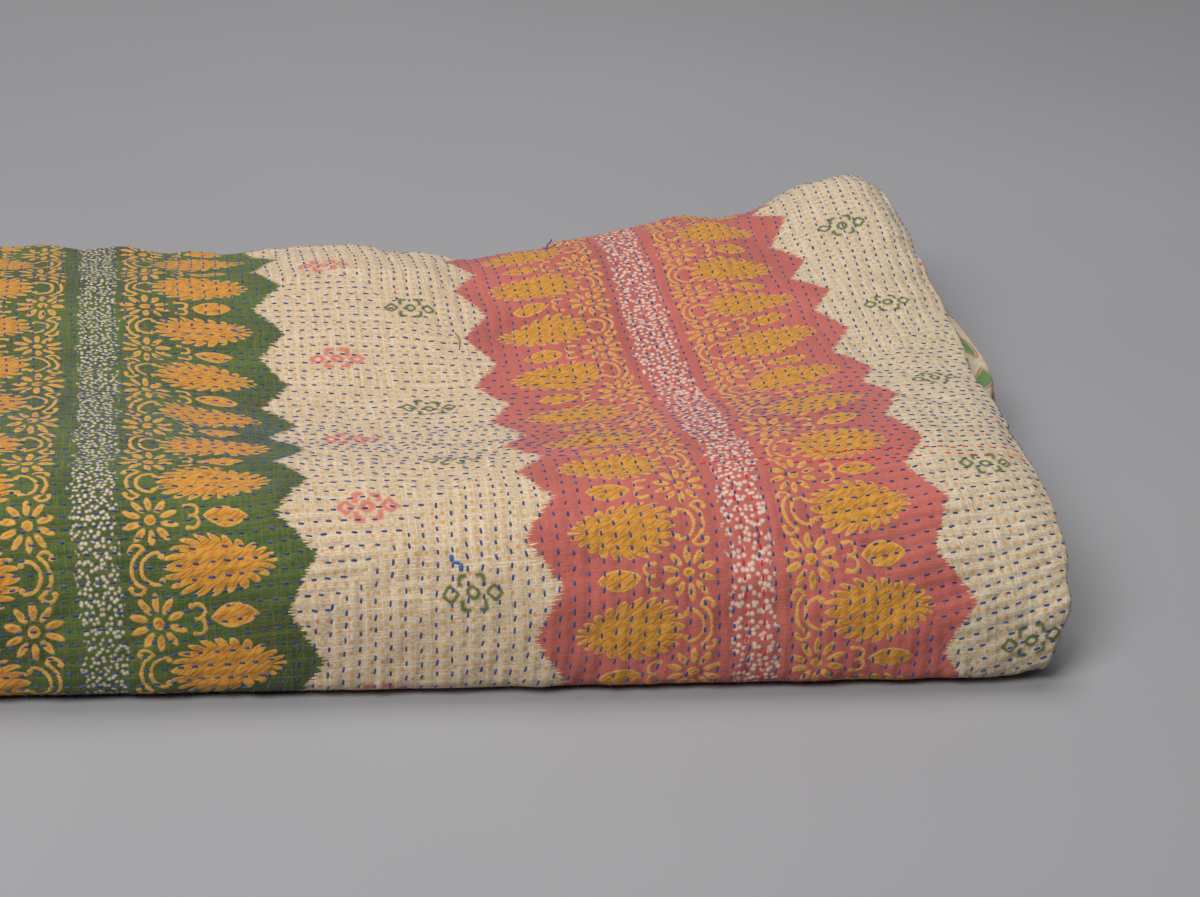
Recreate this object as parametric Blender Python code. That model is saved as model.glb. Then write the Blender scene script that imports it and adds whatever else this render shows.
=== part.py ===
"""A folded kantha quilt: one closed solid of hand-quilted cotton, lying on its flat underside.

The quilt is folded in half across its width, so that every pass is a pair of cloth layers
joined by a fold at the right end. The pair is then folded in half along its length and the
stack of two passes is folded in thirds, like a letter. That makes six passes in one
back-and-forth section. The outermost pass wraps the whole front in one big roll, and both
hemmed ends of the cloth lie inside the stack. The folds spring up more than the pressed
middle does, so the top has a roll along the front, a valley, and a hump at the back.

Frame: +X to the right end, +Y to the back, +Z up, origin under the middle of the box.
"""

import bmesh
import bpy
import numpy as np

MM = 0.001

# Cloth, in metres
LAYER = 3.0 * MM            # several old saris quilted together, with the stitch ripples
PAIR_GAP = 0.7 * MM         # air between the two layers of a pass
HALF_PAIR = LAYER + PAIR_GAP / 2

# Package
TOP_PASS = 5                # passes are numbered 0 to 5 from the bottom
LEFT_END = -346.5 * MM
FRONT_LINE = -204.8 * MM     # y of the line that the table's y values start from
PRESSED_HEIGHT = 43 * MM    # the stack where nothing lifts it
END_SLUMP = 0.40            # share of the height above PRESSED_HEIGHT lost at the right end
END_ROUNDING = 30 * MM      # length over which the top rounds down to the right end

# Front roll and back folds: how far each curve runs in from its outermost point
NOSE_HEIGHT_SHARE = 0.14    # the front roll leans furthest out this far up
OUTER_TOE = 13 * MM
INNER_TOE = 10 * MM
FRONT_NEST = 10.5 * MM      # the inner roll lies this far behind the outer one
BACK_LOWER_INSET = 4 * MM   # the lower back fold lies this far in from the upper one
BACK_OUTER_DEPTH = 17 * MM
BACK_INNER_DEPTH = 8 * MM
BACK_NEST = 10.5 * MM
TOP_FOLD_DEPTH = 9 * MM
HEM_REACH = {3: 12 * MM, 2: 27 * MM}   # how far each hemmed end reaches ahead of the crest

# One row for each place along X, all in millimetres. y runs from the front line to the back.
SECTION_COLUMNS = ("x", "nose_y", "crest_y", "crest_z", "valley_y", "valley_z",
                   "hump_y", "hump_z", "back_y", "back_z")
SECTIONS = (
    (-350, 3, 52, 76, 166, 56, 250, 66, 346, 55),
    (-200, 1, 53, 80, 166, 58, 250, 69, 348, 57),
    (-96, 0, 54, 78, 164, 56, 260, 68, 347, 55),
    (0, 0, 56, 72, 166, 50, 288, 65, 342, 54),
    (60, 0, 55, 71, 172, 48, 300, 62, 344, 54),
    (120, 0, 58, 72, 182, 48, 312, 62, 350, 54),
    (180, 0, 68, 74, 194, 51, 335, 65, 370, 57),
    (250, 0, 84, 75, 212, 59, 365, 74, 396, 65),
    (310, 1, 88, 72, 222, 59, 378, 84, 410, 74),
    (350, 3, 88, 69, 228, 57, 382, 85, 410, 74),
)

# The right end in plan, in millimetres: the fold line of a pass at each distance from the front
END_COLUMNS = ("y", "x")
RIGHT_END = (
    (0, 321), (50, 328), (125, 333), (175, 338), (250, 345), (310, 348), (345, 345), (410, 342),
)

# How far each pass stands out past that line at the right end and the left end, in millimetres
PASS_COLUMNS = ("pass", "right", "left")
PASS_ENDS = (
    (0, -10, 4), (1, -3, 1), (2, 2, 5), (3, 4, 0), (4, 1, 3), (5, 0, 2),
)

# Mesh: places along X as shares of the length of a pass, and steps along the section
X_SHARES = (0.0, 0.14, 0.28, 0.38, 0.47, 0.56, 0.65, 0.74, 0.83, 0.905, 0.955, 1.0)
ARC_STEPS = 4               # steps round the fold at the right end
PASS_STEPS = (3, 3, 2)      # crest to valley, valley to hump, hump to back
FRONT_STEPS = (3, 6)        # below and above the nose of the front roll
BACK_STEPS = 5


def smooth_table(at, knots, values):
    """Cubic curve through (knots, values), with each knot's slope from its two neighbours."""
    knots = np.asarray(knots, float)
    values = np.asarray(values, float)
    slopes = np.gradient(values, knots)
    at = np.clip(at, knots[0], knots[-1])
    i = np.clip(np.searchsorted(knots, at) - 1, 0, len(knots) - 2)
    span = knots[i + 1] - knots[i]
    t = (at - knots[i]) / span
    rise = t * t * (3 - 2 * t)
    leave = t * (1 - t) ** 2 * span * slopes[i]
    arrive = -t * t * (1 - t) * span * slopes[i + 1]
    return values[i] * (1 - rise) + values[i + 1] * rise + leave + arrive


def section_at(x):
    """Every column of SECTIONS, in metres, at the places x along the quilt."""
    rows = np.array(SECTIONS, float) * MM
    return {name: smooth_table(x, rows[:, 0], rows[:, column])
            for column, name in enumerate(SECTION_COLUMNS)}


def ease(t):
    """0 to 1 with level ends."""
    t = np.clip(t, 0, 1)
    return t * t * (3 - 2 * t)


def right_end(y):
    """x of the fold line at the right end, at the distance y behind the front line."""
    rows = np.array(RIGHT_END, float) * MM
    return smooth_table(y, rows[:, 0], rows[:, 1])


def top_height(x, y):
    """Height of the top surface: level at crest, valley and hump, and eased between them."""
    s = section_at(x)
    height = s["crest_z"] + (s["valley_z"] - s["crest_z"]) * ease(
        (y - s["crest_y"]) / (s["valley_y"] - s["crest_y"]))
    height += (s["hump_z"] - s["valley_z"]) * ease(
        (y - s["valley_y"]) / (s["hump_y"] - s["valley_y"]))
    height += (s["back_z"] - s["hump_z"]) * ease(
        (y - s["hump_y"]) / (s["back_y"] - s["hump_y"]))
    near_end = 1 - np.clip((right_end(y) - x) / END_ROUNDING, 0, 1)
    slump = END_SLUMP * (1 - np.sqrt(1 - near_end ** 2))
    return PRESSED_HEIGHT + (height - PRESSED_HEIGHT) * (1 - slump)


def pass_height(x, y, level):
    """Height of the middle of a pass: the passes share the height below the top evenly."""
    return HALF_PAIR + (top_height(x, y) - 2 * HALF_PAIR) * level / TOP_PASS


def pass_run(x, level, front, back):
    """Front-to-back middle line of one pass as (y, z) rows, with a row at each feature."""
    s = section_at(x)
    stops = [front, s["valley_y"], s["hump_y"], back]
    rows = []
    for start, stop, steps in zip(stops[:-1], stops[1:], PASS_STEPS):
        for step in range(steps):
            rows.append(start + (stop - start) * step / steps)
    rows.append(back)
    y = np.array(rows)
    return y, pass_height(x, y, level)


def quarter(centre, reach_y, reach_z, start, stop, steps):
    """Points on an ellipse about centre, from the angle start to stop in quarter turns."""
    turn = np.linspace(start, stop, steps + 1)[:, None] * np.pi / 2
    return centre[0] + reach_y * np.cos(turn), centre[1] + reach_z * np.sin(turn)


def front_roll(x, low, toe, nest):
    """Upward front fold from pass low to its partner: a short toe, then a long leaning back."""
    s = section_at(x)
    high = TOP_PASS - low
    nose_y = s["nose_y"] + HALF_PAIR + nest
    low_z = pass_height(x, nose_y + toe, low)
    high_z = pass_height(x, s["crest_y"], high)
    nose_z = low_z + (high_z - low_z) * NOSE_HEIGHT_SHARE
    lower = quarter((nose_y + toe, nose_z), toe, nose_z - low_z, 3, 2, FRONT_STEPS[0])
    upper = quarter((s["crest_y"], nose_z), s["crest_y"] - nose_y, high_z - nose_z,
                    2, 1, FRONT_STEPS[1])
    return tuple(np.concatenate([a, b[1:]]) for a, b in zip(lower, upper))


def back_fold(x, low, high, tip_y, depth):
    """Upward back fold from pass low to pass high, a half ellipse that ends at tip_y."""
    low_z = pass_height(x, tip_y - depth, low)
    high_z = pass_height(x, tip_y - depth, high)
    return quarter((tip_y - depth, (low_z + high_z) / 2), depth, (high_z - low_z) / 2,
                   -1, 1, BACK_STEPS)


def section_path(x):
    """The whole back-and-forth middle line at each x, and the pass that each row belongs to.

    It starts at the hemmed end on pass 3, and ends at the other hemmed end on pass 2.
    """
    s = section_at(x)
    outer_toe = s["nose_y"] + HALF_PAIR + OUTER_TOE
    inner_toe = s["nose_y"] + HALF_PAIR + FRONT_NEST + INNER_TOE
    lower_tip = s["back_y"] - HALF_PAIR - BACK_LOWER_INSET
    inner_tip = lower_tip - BACK_NEST
    lower_end = lower_tip - BACK_OUTER_DEPTH
    inner_end = inner_tip - BACK_INNER_DEPTH
    upper_tip = s["back_y"] - HALF_PAIR
    upper_end = upper_tip - TOP_FOLD_DEPTH
    pieces = (
        (pass_run(x, 3, s["crest_y"] - HEM_REACH[3], lower_end), 3, 3, False),
        (back_fold(x, 0, 3, lower_tip, BACK_OUTER_DEPTH), 0, 3, True),
        (pass_run(x, 0, outer_toe, lower_end), 0, 0, True),
        (front_roll(x, 0, OUTER_TOE, 0.0), 0, 5, False),
        (pass_run(x, 5, s["crest_y"], upper_end), 5, 5, False),
        (back_fold(x, 4, 5, upper_tip, TOP_FOLD_DEPTH), 4, 5, True),
        (pass_run(x, 4, s["crest_y"], upper_end), 4, 4, True),
        (front_roll(x, 1, INNER_TOE, FRONT_NEST), 1, 4, True),
        (pass_run(x, 1, inner_toe, inner_end), 1, 1, False),
        (back_fold(x, 1, 2, inner_tip, BACK_INNER_DEPTH), 1, 2, False),
        (pass_run(x, 2, s["crest_y"] - HEM_REACH[2], inner_end), 2, 2, True),
    )
    ys, zs, levels = [], [], []
    for (y, z), low, high, downward in pieces:
        level = np.linspace(low, high, len(y))
        if downward:
            y, z, level = y[::-1], z[::-1], level[::-1]
        first = 1 if ys else 0
        ys.append(y[first:])
        zs.append(z[first:])
        levels.append(level[first:])
    return np.concatenate(ys), np.concatenate(zs), np.concatenate(levels)


def pass_ends(level):
    """How far a pass stands out at its right end and its left end."""
    rows = np.array(PASS_ENDS, float)
    return (np.interp(level, rows[:, 0], rows[:, 1]) * MM,
            np.interp(level, rows[:, 0], rows[:, 2]) * MM)


def ring_outline():
    """Cross-section of a pass as (share of X, reach past the end, offset from the middle).

    It goes out along one layer, round the fold at the right end, back along the other
    layer, and returns along the inner faces.
    """
    turn = np.linspace(np.pi / 2, -np.pi / 2, ARC_STEPS + 1)[1:-1]
    shares = np.array(X_SHARES)
    loops = []
    for reach in (HALF_PAIR, PAIR_GAP / 2):
        share = np.concatenate([shares, np.ones(len(turn)), shares[::-1]])
        past = np.concatenate([np.zeros(len(shares)), reach * np.cos(turn), np.zeros(len(shares))])
        offset = np.concatenate([np.full(len(shares), reach), reach * np.sin(turn),
                                 np.full(len(shares), -reach)])
        loops.append((share, past, offset))
    outer, inner = loops
    return tuple(np.concatenate([a, b[::-1]]) for a, b in zip(outer, inner))


def quilt_points():
    """Grid of points: one row for each step of the section, one column for each outline point."""
    share, past, offset = ring_outline()
    nominal_x = LEFT_END + share * (right_end(0.0) - LEFT_END)
    y, _, level = section_path(nominal_x)
    right, left = pass_ends(level[:, None])
    start = LEFT_END - left
    end = right_end(y) + right - HALF_PAIR
    x = start + share * (end - start)
    y, z, _ = section_path_at(x)
    slope_y = np.gradient(y, axis=0)
    slope_z = np.gradient(z, axis=0)
    length = np.hypot(slope_y, slope_z)
    points = np.stack([x + past, y + offset * -slope_z / length + FRONT_LINE,
                       z + offset * slope_y / length], axis=-1)
    return points


def section_path_at(x):
    """section_path where every row has x places of its own."""
    rows = [section_path(line) for line in x]
    y = np.array([row[0][i] for i, row in enumerate(rows)])
    z = np.array([row[1][i] for i, row in enumerate(rows)])
    return y, z, rows[0][2]


def build_mesh(name, points):
    """Closed mesh from the grid: a tube of quads, with a strip of quads over each hemmed end."""
    rows, columns = points.shape[:2]
    mesh = bmesh.new()
    verts = [[mesh.verts.new(point) for point in row] for row in points]
    for lower, upper in zip(verts[:-1], verts[1:]):
        for i in range(columns):
            j = (i + 1) % columns
            mesh.faces.new((lower[i], lower[j], upper[j], upper[i]))
    for ring in (verts[0], verts[-1]):
        for i in range(columns // 2 - 1):
            mesh.faces.new((ring[i], ring[i + 1], ring[columns - 2 - i], ring[columns - 1 - i]))
    bmesh.ops.recalc_face_normals(mesh, faces=mesh.faces)
    bmesh.ops.triangulate(mesh, faces=mesh.faces)
    data = bpy.data.meshes.new(name)
    mesh.to_mesh(data)
    mesh.free()
    return data


def cotton():
    """Old washed cotton, cream between the woven bands."""
    material = bpy.data.materials.new("quilted_cotton")
    material.use_nodes = True
    shader = material.node_tree.nodes["Principled BSDF"]
    shader.inputs["Base Color"].default_value = (0.70, 0.55, 0.38, 1.0)
    shader.inputs["Roughness"].default_value = 0.9
    shader.inputs["Metallic"].default_value = 0.0
    return material


def main():
    for thing in list(bpy.data.objects):
        bpy.data.objects.remove(thing)
    collection = bpy.data.collections.new("kantha_quilt")
    bpy.context.scene.collection.children.link(collection)
    data = build_mesh("quilt", quilt_points())
    data.materials.append(cotton())
    quilt = bpy.data.objects.new("quilt", data)
    collection.objects.link(quilt)
    data.shade_smooth()
    data.set_sharp_from_angle(angle=0.7)


main()
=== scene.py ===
# %% [markdown]
# # A folded kantha quilt
# A kantha quilt is a few old cotton saris laid on each other and held together by thousands of
# running stitches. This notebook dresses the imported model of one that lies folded.
# The plan: rebuild the fold scheme of the model on a much finer grid, so that the cloth is one
# continuous surface with a flat pattern space of its own, print the borders in that space with
# a node material, and then lay every stitch on the surface as a small thread.

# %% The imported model
from functools import partial, reduce

import bmesh
import bpy
import numpy as np
from mathutils import Matrix


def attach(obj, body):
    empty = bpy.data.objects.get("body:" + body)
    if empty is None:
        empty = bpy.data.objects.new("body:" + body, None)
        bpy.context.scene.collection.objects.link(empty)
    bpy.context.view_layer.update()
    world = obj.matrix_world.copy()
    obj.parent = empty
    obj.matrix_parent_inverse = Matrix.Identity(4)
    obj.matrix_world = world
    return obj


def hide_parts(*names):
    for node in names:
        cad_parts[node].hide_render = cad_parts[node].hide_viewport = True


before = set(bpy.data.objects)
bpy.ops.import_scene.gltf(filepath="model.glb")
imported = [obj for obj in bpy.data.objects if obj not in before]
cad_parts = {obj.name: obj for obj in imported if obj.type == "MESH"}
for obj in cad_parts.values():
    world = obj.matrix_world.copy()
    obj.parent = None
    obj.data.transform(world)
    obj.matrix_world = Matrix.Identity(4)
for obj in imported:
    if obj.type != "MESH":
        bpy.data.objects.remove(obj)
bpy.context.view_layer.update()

# %% [markdown]
# ## The camera
# The camera looks down on the long front side from a little to the left. A camera looks along
# its own -Z and so does a lamp, so one function makes the world matrix of either from its place
# and the direction behind it.

# %% Camera
CAMERA_PLACE = (-0.0963, -1.1681, 0.6141)
CAMERA_TURN = -11.78            # degrees round the vertical, left of straight on
CAMERA_RISE = 26.85             # degrees above the floor
CAMERA_ROLL = 5.18
CAMERA_LENS = 81                # mm, on a 36 mm wide sensor


def aimed(place, back, roll=0.0):
    """World matrix of what looks away from back: a level right axis, up from both, and a roll."""
    level = np.cross((0, 0, 1), back)
    level /= np.linalg.norm(level)
    upright = np.cross(back, level)
    right = level * np.cos(roll) + upright * np.sin(roll)
    up = upright * np.cos(roll) - level * np.sin(roll)
    matrix = np.eye(4)
    matrix[:3] = np.stack([right, up, back, place], axis=1)
    return Matrix(matrix.tolist())


turn, rise, roll = np.radians([CAMERA_TURN, CAMERA_RISE, CAMERA_ROLL])
camera_back = (np.sin(turn) * np.cos(rise), -np.cos(turn) * np.cos(rise), np.sin(rise))
camera = bpy.data.objects.new("camera", bpy.data.cameras.new("camera"))
camera.data.lens = CAMERA_LENS
camera.data.clip_start = 0.05
camera.matrix_world = aimed(CAMERA_PLACE, camera_back, roll)
bpy.context.scene.collection.objects.link(camera)
bpy.context.scene.camera = camera
print("camera at", [round(value, 3) for value in camera.location])

# %% [markdown]
# ## The fold scheme
# The quilt is folded in half across its width, so each pass is a pair of layers joined by a
# fold at the right end. Then it is halved along its length and letter-folded in thirds, which
# makes six passes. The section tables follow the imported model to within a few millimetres,
# because the cloth has to fill the same space. They are smooth tables: a few places with a
# value each, and a cubic curve between them.

# %% Sizes of the folded quilt
MM = 0.001
LAYER = 3.0 * MM
PAIR_GAP = 0.7 * MM
HALF_PAIR = LAYER + PAIR_GAP / 2
TOP_PASS = 5
LEFT_END = -346.5 * MM
FRONT_LINE = -204.8 * MM
PRESSED_HEIGHT = 43 * MM
END_SLUMP = 0.40
END_ROUNDING = 30 * MM
NOSE_HEIGHT_SHARE = 0.14
OUTER_TOE, INNER_TOE = 13 * MM, 10 * MM
FRONT_NEST = 10.5 * MM
NOSE_REACH = 5 * MM         # the outer roll sags this far out, and its nose sits lower
NOSE_SAG_SHARE = 0.06
BACK_LOWER_INSET = 4 * MM
BACK_OUTER_DEPTH, BACK_INNER_DEPTH = 17 * MM, 8 * MM
BACK_NEST = 10.5 * MM
TOP_FOLD_DEPTH = 9 * MM
HEM_REACH = {3: 12 * MM, 2: 27 * MM}

# One row for each place along X, all in millimetres. y runs from the front line to the back.
SECTION_COLUMNS = ("x", "nose_y", "crest_y", "crest_z", "valley_y", "valley_z",
                   "hump_y", "hump_z", "back_y", "back_z")
SECTIONS = (
    (-350, 3, 52, 76, 166, 63, 250, 67, 346, 57),
    (-200, 1, 53, 80, 166, 67, 250, 70, 348, 59),
    (-90, 0, 54, 78, 164, 66, 260, 69, 347, 57),
    (-30, 0, 55, 74, 165, 54, 275, 66, 344, 56),
    (30, 0, 55, 71, 168, 49, 292, 68, 343, 62),
    (60, 0, 55, 71, 172, 48, 297, 66, 344, 58),
    (100, 0, 56, 72, 178, 48, 306, 59, 347, 53),
    (125, 0, 59, 72, 183, 48, 313, 62, 351, 56),
    (180, 0, 68, 74, 194, 51, 335, 65, 370, 60),
    (225, 0, 79, 75, 206, 56, 352, 69, 388, 61),
    (250, 0, 84, 75, 212, 59, 365, 67, 396, 55),
    (280, 0, 86, 74, 217, 59, 372, 79, 404, 69),
    (310, 1, 88, 72, 222, 59, 378, 86, 410, 78),
    (350, 3, 88, 69, 228, 57, 382, 88, 410, 79),
)

# The right end in plan, and how far each pass stands out at either end, in millimetres. The
# top pass is drawn in over the valley, which leaves the ends of the inner passes to be seen.
RIGHT_END = (
    (0, 321), (25, 321), (50, 324), (75, 325), (105, 325), (150, 331), (190, 337), (232, 342),
    (270, 338), (310, 335), (345, 334), (380, 332), (410, 331),
)
PASS_ENDS = (
    (0, -12, 4), (1, -5, 1), (2, 2, 5), (3, 4, 0), (4, 1, 3), (5, 0, 2),
)
TOP_NOTCH = (208, 62, -7.5)     # y of its middle, half width, and how far the top pass moves there
INNER_BULGE = (260, 76, 12.0)   # the same for the passes under it
TOP_FROM, INNER_FROM = 4.5, 1.5     # levels along the path where these two begin
CORNER_LIFT = (285, 35, 7)      # the lowest pass leaves the floor: from which x, over what length, how far
LIFT_REACH = 60                 # how far from the front line that corner is lifted


def smooth_table(at, knots, values):
    """Cubic curve through (knots, values), with each knot's slope from its two neighbours."""
    knots = np.asarray(knots, float)
    values = np.asarray(values, float)
    slopes = np.gradient(values, knots)
    at = np.clip(at, knots[0], knots[-1])
    i = np.clip(np.searchsorted(knots, at) - 1, 0, len(knots) - 2)
    span = knots[i + 1] - knots[i]
    t = (at - knots[i]) / span
    rise = t * t * (3 - 2 * t)
    leave = t * (1 - t) ** 2 * span * slopes[i]
    arrive = -t * t * (1 - t) * span * slopes[i + 1]
    return values[i] * (1 - rise) + values[i + 1] * rise + leave + arrive


def ease(t):
    """0 to 1 with level ends: three t squared minus two t cubed."""
    t = np.clip(t, 0, 1)
    return t * t * (3 - 2 * t)


def section_at(x):
    """Every column of SECTIONS, in metres, at the places x along the quilt."""
    rows = np.array(SECTIONS, float) * MM
    return {name: smooth_table(x, rows[:, 0], rows[:, column])
            for column, name in enumerate(SECTION_COLUMNS)}


def right_end(y):
    """x of the fold line at the right end, at the distance y behind the front line."""
    rows = np.array(RIGHT_END, float) * MM
    return smooth_table(y, rows[:, 0], rows[:, 1])


def top_height(x, y):
    """Height of the top: crest, valley, hump and back, eased between, rounded at the right."""
    s = section_at(x)
    height = s["crest_z"]
    for here, there in (("crest", "valley"), ("valley", "hump"), ("hump", "back")):
        share = ease((y - s[here + "_y"]) / (s[there + "_y"] - s[here + "_y"]))
        height = height + (s[there + "_z"] - s[here + "_z"]) * share
    near_end = 1 - np.clip((right_end(y) - x) / END_ROUNDING, 0, 1)
    slump = END_SLUMP * (1 - np.sqrt(1 - near_end ** 2))
    return PRESSED_HEIGHT + (height - PRESSED_HEIGHT) * (1 - slump)


def pass_height(x, y, level):
    """Height of the middle of a pass: the passes share the height below the top evenly."""
    start, length, lift = CORNER_LIFT
    lift *= np.maximum(x / MM - start, 0) ** 2 / length ** 2 * np.exp(-(y / MM / LIFT_REACH) ** 2)
    bottom = HALF_PAIR + lift * MM
    return bottom + (top_height(x, y) - HALF_PAIR - bottom) * level / TOP_PASS


print("height of the top at the middle, mm:", round(float(top_height(0.0, 0.056)) / MM, 1))

# %% [markdown]
# ## The path of the cloth
# Seen from the end, the cloth follows one back-and-forth line: flat passes, two front rolls
# and three back folds. Each of them is a function of x and of a share t from 0 to 1, so a
# whole piece is worked out at once as an array. The visible pieces get rows about 2.4 mm
# apart, and the hidden ones far fewer.

# %% Pieces of the path
TOE_SHARE = 0.16            # share of a front roll's rows below its nose


def pass_run(x, t, level, front, back):
    """A pass: y goes in a straight line from front to back, and z is the height of that pass."""
    y = front + (back - front) * t
    return y, pass_height(x, y, level)


def front_roll(x, t, low, toe, nest, nose_share):
    """Front fold upwards: a quarter ellipse out to the nose, then a larger one back to the crest."""
    s = section_at(x)
    high = TOP_PASS - low
    nose_y = s["nose_y"] + HALF_PAIR + nest
    low_z = pass_height(x, nose_y + toe, low)
    high_z = pass_height(x, s["crest_y"], high)
    nose_z = low_z + (high_z - low_z) * nose_share
    below = t < TOE_SHARE
    turn = np.where(below, 3 - t / TOE_SHARE, 2 - (t - TOE_SHARE) / (1 - TOE_SHARE)) * np.pi / 2
    centre_y = np.where(below, nose_y + toe, s["crest_y"])
    reach_z = np.where(below, nose_z - low_z, high_z - nose_z)
    return centre_y + (centre_y - nose_y) * np.cos(turn), nose_z + reach_z * np.sin(turn)


def back_fold(x, t, low, high, tip_y, depth):
    """Back fold upwards: half an ellipse from pass low to pass high, which ends at tip_y."""
    low_z = pass_height(x, tip_y - depth, low)
    high_z = pass_height(x, tip_y - depth, high)
    turn = (2 * t - 1) * np.pi / 2
    return (tip_y - depth + depth * np.cos(turn),
            (low_z + high_z) / 2 + (high_z - low_z) / 2 * np.sin(turn))


OUTER_ROLL_ROWS = 48
# name, first level, last level, rows, and whether the piece is walked from its t = 1 to its t = 0
PATH = (
    ("pass 3", 3, 3, 14, False),
    ("outer back fold", 3, 0, 14, True),
    ("pass 0", 0, 0, 42, True),
    ("outer front roll", 0, 5, OUTER_ROLL_ROWS, False),
    ("pass 5", 5, 5, 126, False),
    ("top fold", 5, 4, 12, True),
    ("pass 4", 4, 4, 14, True),
    ("inner front roll", 4, 1, 12, True),
    ("pass 1", 1, 1, 14, False),
    ("inner back fold", 1, 2, 8, False),
    ("pass 2", 2, 2, 14, True),
)
FINE_PIECES = ("outer back fold", "pass 0", "outer front roll", "pass 5", "top fold")


def path_piece(name, x, t):
    """(y, z) of one named piece of the path, at the places x and the shares t."""
    s = section_at(x)
    nose, crest, upper_tip = s["nose_y"] + HALF_PAIR, s["crest_y"], s["back_y"] - HALF_PAIR
    lower_tip = upper_tip - BACK_LOWER_INSET
    inner_tip = lower_tip - BACK_NEST
    upper_end, lower_end = upper_tip - TOP_FOLD_DEPTH, lower_tip - BACK_OUTER_DEPTH
    inner_end = inner_tip - BACK_INNER_DEPTH
    shape, *sizes = {
        "pass 0": (pass_run, 0, nose + OUTER_TOE - NOSE_REACH, lower_end),
        "pass 1": (pass_run, 1, nose + FRONT_NEST + INNER_TOE, inner_end),
        "pass 2": (pass_run, 2, crest - HEM_REACH[2], inner_end),
        "pass 3": (pass_run, 3, crest - HEM_REACH[3], lower_end),
        "pass 4": (pass_run, 4, crest, upper_end),
        "pass 5": (pass_run, 5, crest, upper_end),
        "outer front roll": (front_roll, 0, OUTER_TOE, -NOSE_REACH, NOSE_HEIGHT_SHARE - NOSE_SAG_SHARE),
        "inner front roll": (front_roll, 1, INNER_TOE, FRONT_NEST, NOSE_HEIGHT_SHARE),
        "outer back fold": (back_fold, 0, 3, lower_tip, BACK_OUTER_DEPTH),
        "inner back fold": (back_fold, 1, 2, inner_tip, BACK_INNER_DEPTH),
        "top fold": (back_fold, 4, 5, upper_tip, TOP_FOLD_DEPTH),
    }[name]
    return shape(x, t, *sizes)


def path_rows():
    """For every row of the grid: the number of its piece, its share t, and its level."""
    numbers, shares, levels = [], [], []
    for number, (name, first, last, steps, backwards) in enumerate(PATH):
        t = np.linspace(0, 1, steps + 1)
        skip = 1 if number else 0
        numbers.append(np.full(steps + 1 - skip, number))
        shares.append((1 - t if backwards else t)[skip:])
        levels.append(np.linspace(first, last, steps + 1)[skip:])
    return np.concatenate(numbers), np.concatenate(shares), np.concatenate(levels)


row_piece, row_share, row_level = path_rows()
names = [piece[0] for piece in PATH]
row_name = np.array(names)[row_piece]
row_is_fine = np.isin(row_name, FINE_PIECES)
row_is_fine[np.flatnonzero(row_is_fine)[0] - 1] = True      # the row where the first fine piece starts
nose_row = int(np.flatnonzero(row_name == "outer front roll")[0] + round(TOE_SHARE * OUTER_ROLL_ROWS) - 1)
print("rows along the path:", len(row_piece), "and fine ones:", int(row_is_fine.sum()))

# %% [markdown]
# ## The ring of each pass
# Across the path, the cloth is a ring: along the face layer to the right end, round the fold
# there, back along the other layer, and home again along the two inner faces. The face layer
# has columns 2.4 mm apart, and every 16th of them carries on into the rest of the ring, where
# nobody looks closely.

# %% The ring and the grid of points
COARSE_COLUMNS = 18
FINE_PER_COARSE = 16
END_STEPS = 6               # steps round the fold at the right end


def ring():
    """Columns of the grid: share of the length, reach past the end, offset, whether coarse."""
    fine = np.linspace(0, 1, COARSE_COLUMNS * FINE_PER_COARSE + 1)
    coarse = np.linspace(0, 1, COARSE_COLUMNS + 1)
    turn = np.linspace(np.pi / 2, -np.pi / 2, END_STEPS + 1)[1:-1]
    parts = []
    for reach, out, step, way in ((HALF_PAIR, fine, FINE_PER_COARSE, 1), (PAIR_GAP / 2, coarse, 1, -1)):
        columns = [(out, 0 * out, reach + 0 * out, np.arange(len(out)) % step == 0),
                   (1 + 0 * turn, reach * np.cos(turn), reach * np.sin(turn), 1 + 0 * turn),
                   (coarse[::-1], 0 * coarse, -reach + 0 * coarse, 1 + 0 * coarse)]
        parts.append(np.concatenate([np.array(part, float) for part in columns], axis=1)[:, ::way])
    share, past, offset, keep = np.concatenate(parts, axis=1)
    return share, past, offset, keep > 0


ring_share, ring_past, ring_offset, ring_coarse = ring()
face_columns = COARSE_COLUMNS * FINE_PER_COARSE + 1
print("columns round the ring:", len(ring_share), "of which coarse:", int(ring_coarse.sum()))


def path_at(x):
    """y and z of the middle line where x is given for every row and column of the grid."""
    y, z = np.empty_like(x), np.empty_like(x)
    for number, name in enumerate(names):
        rows = row_piece == number
        y[rows], z[rows] = path_piece(name, x[rows], row_share[rows, None])
    return y, z


def grid_points():
    """Points of the grid: the middle line, moved sideways by the offset of each column."""
    nominal = LEFT_END + ring_share * (right_end(0.0) - LEFT_END)
    y, _ = path_at(np.broadcast_to(nominal, (len(row_piece), len(nominal))).copy())
    level, *reaches = np.array(PASS_ENDS, float).T
    right, left = (np.interp(row_level, level, reach)[:, None] * MM for reach in reaches)
    start = LEFT_END - left
    end = right_end(y) + right - HALF_PAIR
    top = row_level > TOP_FROM
    for (middle, half, reach), moves in ((TOP_NOTCH, top), (INNER_BULGE, ~top & (row_level > INNER_FROM))):
        bulge = np.clip(1 - ((y / MM - middle) / half) ** 2, 0, 1)
        end += reach * MM * bulge * moves[:, None]
    x = start + ring_share * (end - start)
    y, z = path_at(x)
    slope_y, slope_z = np.gradient(y, axis=0), np.gradient(z, axis=0)
    length = np.hypot(slope_y, slope_z)
    return np.stack([x + ring_past, y - ring_offset * slope_z / length + FRONT_LINE,
                     z + ring_offset * slope_y / length], axis=-1)


flat_points = grid_points()
print("smooth cloth spans, mm:", np.round(np.ptp(flat_points.reshape(-1, 3), axis=0) / MM, 1))

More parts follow.
